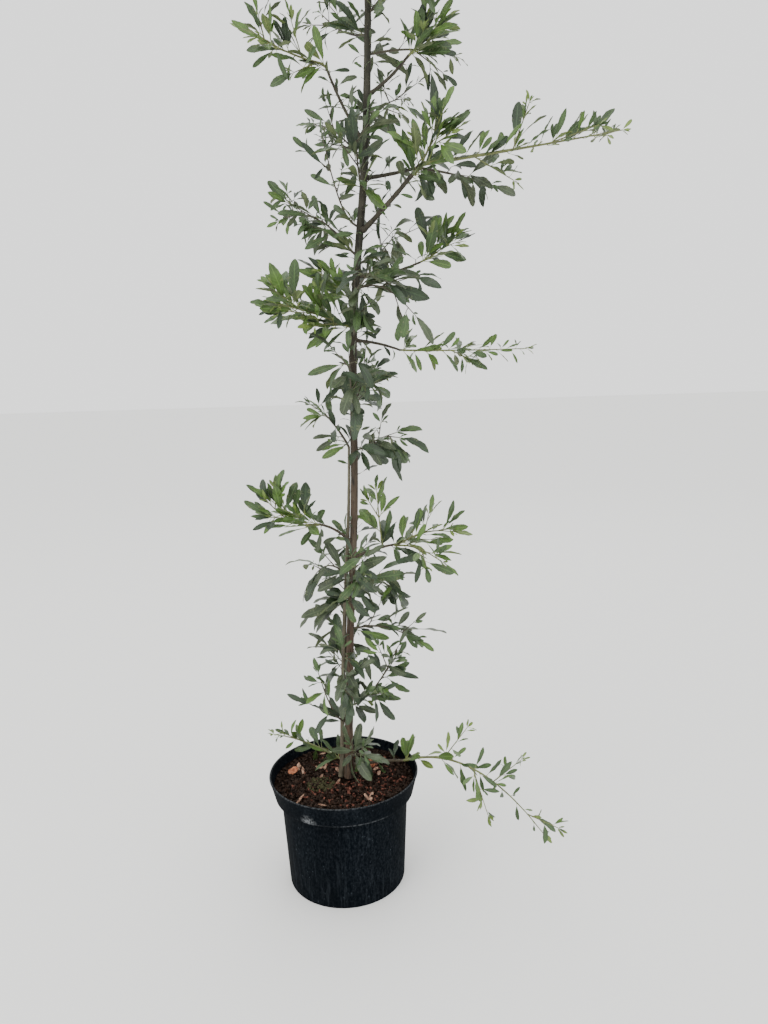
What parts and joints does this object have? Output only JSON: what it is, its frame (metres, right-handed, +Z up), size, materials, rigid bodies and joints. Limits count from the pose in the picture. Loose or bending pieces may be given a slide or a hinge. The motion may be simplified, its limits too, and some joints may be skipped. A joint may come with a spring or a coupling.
{
  "type": "potted orange glow firethorn",
  "caption": "Young firethorn shrub grown as a slim upright column of narrow evergreen leaves, standing in a round dark nursery pot filled with soil.",
  "frame": {"origin": "centre of the pot's flat underside, where it stands on the ground", "axes": "+Z up along the trunk, +X to the right of the side that the picture shows, +Y away from it"},
  "size_m": [0.4646, 0.2188, 1.398],
  "materials": {
    "pot": "dull blue-black moulded plastic with fine upright scuffs and a paler rubbed rim",
    "soil": "moist dark brown potting compost with reddish bark chips",
    "bark": "grey-brown bark, greenish on the younger limbs, with small lenticels",
    "foliage": "mid green leathery leaves with a soft sheen and a paler midrib",
    "fresh_foliage": "fresh bright green leaves with a satin sheen, yellow-green at the growing tips",
    "grey_foliage": "dull grey-green older leaves that hang with their paler undersides showing"
  },
  "bodies": {
    "root": {"pot": "pot", "soil": "soil", "trunk": "bark", "second_stem": "bark", "bough_low_right": "bark", "bough_right_mid": "bark", "bough_left_mid": "bark", "bough_right_long": "bark", "bough_right_shelf": "bark", "bough_stout": "bark", "bough_fork": "bark", "bough_left_high": "bark", "bough_right_high": "bark", "foliage_low_right": "fresh_foliage", "foliage_low_left": "fresh_foliage", "foliage_foot_front": "grey_foliage", "foliage_left_pot": "foliage", "foliage_right_low": "foliage", "foliage_front_low": "grey_foliage", "foliage_back_low": "grey_foliage", "foliage_right_low_upper": "foliage", "foliage_left_low": "grey_foliage", "foliage_right_mid_low": "grey_foliage", "foliage_left_mid_low": "grey_foliage", "foliage_front_mid": "grey_foliage", "foliage_left_mid": "fresh_foliage", "foliage_right_mid": "fresh_foliage", "foliage_right_mid_fork": "fresh_foliage", "foliage_right_mid_up": "foliage", "foliage_back_mid": "foliage", "foliage_right_second": "grey_foliage", "foliage_left_upper_mid": "grey_foliage", "foliage_front_upper": "grey_foliage", "foliage_back_upper": "grey_foliage", "foliage_left_upper_spur": "fresh_foliage", "foliage_right_long": "fresh_foliage", "foliage_right_spur": "grey_foliage", "foliage_left_bright": "fresh_foliage", "foliage_right_hang": "grey_foliage", "foliage_right_shelf": "fresh_foliage", "foliage_back_right": "grey_foliage", "foliage_left_arch": "foliage", "foliage_left_arch_up": "foliage", "foliage_bright_cluster": "fresh_foliage", "foliage_long_top": "fresh_foliage", "foliage_low_fork": "grey_foliage", "foliage_front_high": "foliage", "foliage_left_pair": "foliage", "foliage_back_top": "foliage", "foliage_left_high": "fresh_foliage", "foliage_right_high": "fresh_foliage", "foliage_right_flat": "foliage", "foliage_back_left_top": "foliage", "foliage_top_arch": "foliage", "foliage_top_1": "foliage", "foliage_top_2": "foliage", "foliage_top_3": "foliage", "foliage_top_4": "foliage", "foliage_top_5": "foliage", "foliage_leader": "foliage"}
  },
  "joints": []
}
